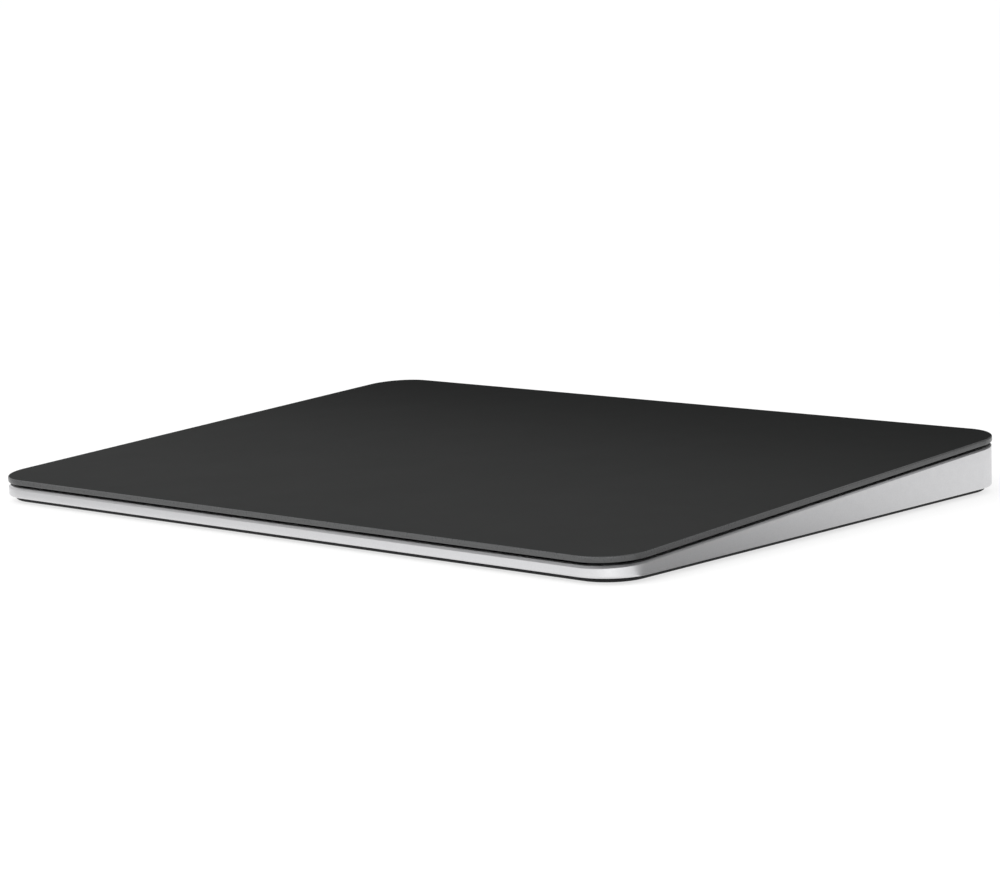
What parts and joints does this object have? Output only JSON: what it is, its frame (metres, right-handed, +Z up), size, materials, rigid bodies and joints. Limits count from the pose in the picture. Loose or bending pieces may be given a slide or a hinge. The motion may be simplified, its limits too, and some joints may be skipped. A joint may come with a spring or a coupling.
{
  "type": "wireless trackpad",
  "caption": "Flat wedge-shaped wireless trackpad with a black glass touch plate that floats on force-sensing flexures over a silver metal tub.",
  "frame": {"origin": "centre of the footprint, on the surface that the four feet stand on", "axes": "+X to the user's right along the wide side, +Y to the tall rear edge, +Z up"},
  "size_m": [0.16, 0.1149, 0.0109],
  "materials": {
    "black_glass": "satin-etched black glass",
    "anodised_shell": "bead-blasted and anodised",
    "base_polymer": "fine matt texture",
    "foot_rubber": "matt",
    "screw_steel": "turned",
    "film_adhesive": "black film",
    "circuit_black": "black solder mask",
    "circuit_green": "solder mask",
    "chip_black": "moulded",
    "connector_ivory": "moulded",
    "sheet_steel": "rolled",
    "magnet_steel": "laminated",
    "gel": "soft translucent",
    "spring_steel": "cold rolled",
    "gauge_film": "polyimide",
    "coil_copper": "enamelled wire",
    "cell_pouch": "foil pouch",
    "cell_tape": "tape",
    "socket_steel": "drawn",
    "socket_core": "moulded",
    "switch_body": "moulded",
    "knob_metal": "anodised",
    "marker_green": "printed film",
    "antenna_resin": "moulded",
    "antenna_copper": "plated",
    "cable_jacket": "extruded"
  },
  "bodies": {
    "base": {"housing": "anodised_shell", "base_cover": "base_polymer", "foot_front_left": "foot_rubber", "foot_front_right": "foot_rubber", "foot_rear_left": "foot_rubber", "foot_rear_right": "foot_rubber", "base_screws": "screw_steel", "flexure_screws": "screw_steel", "haptic_screws": "screw_steel", "board_screws": "screw_steel", "main_board": "circuit_green", "battery_guard_board": "circuit_green", "board_chips": "chip_black", "ribbon_latch": "connector_ivory", "board_shield": "sheet_steel", "haptic_core": "magnet_steel", "flexure_front_left": "spring_steel", "flexure_front_right": "spring_steel", "flexure_rear_left": "spring_steel", "flexure_rear_right": "spring_steel", "strain_gauges": "gauge_film", "sensor_ribbon": "gauge_film", "battery_lead": "gauge_film", "haptic_coil_1": "coil_copper", "haptic_coil_2": "coil_copper", "haptic_coil_3": "coil_copper", "haptic_coil_4": "coil_copper", "battery_left": "cell_pouch", "battery_right": "cell_pouch", "battery_tapes": "cell_tape", "charge_socket": "socket_steel", "socket_tongue": "socket_core", "power_switch": "switch_body", "antenna_carrier": "antenna_resin", "antenna_strip": "antenna_copper", "antenna_cable": "cable_jacket"},
    "gel_mounts": {"gel_pad_front_left": "gel", "gel_pad_front_right": "gel", "gel_pad_rear_left": "gel", "gel_pad_rear_right": "gel"},
    "touch_plate": {"touch_glass": "black_glass", "glass_adhesive": "film_adhesive", "sensor_board": "circuit_black", "sensor_chips": "chip_black", "sensor_plug": "connector_ivory", "plate_stiffener": "sheet_steel", "armature": "magnet_steel", "armature_bracket": "sheet_steel"},
    "power_slider": {"power_slider": "knob_metal", "on_marker": "marker_green"}
  },
  "joints": [
    {"name": "press", "type": "slide", "parent": "base", "child": "gel_mounts", "axis": [0, 0.0521, -0.9986], "range_m": [0, 0.0002], "stiffness_N_per_m": 50000, "deforming": ["flexure_front_left", "flexure_front_right", "flexure_rear_left", "flexure_rear_right", "sensor_ribbon"]},
    {"name": "haptic_shift", "type": "slide", "parent": "gel_mounts", "child": "touch_plate", "axis": [1, 0, 0], "range_m": [-0.00015, 0.00015], "stiffness_N_per_m": 8000, "deforming": ["sensor_ribbon"]},
    {"name": "power_slide", "type": "slide", "parent": "base", "child": "power_slider", "axis": [1, 0, 0], "range_m": [0, 0.003]}
  ]
}
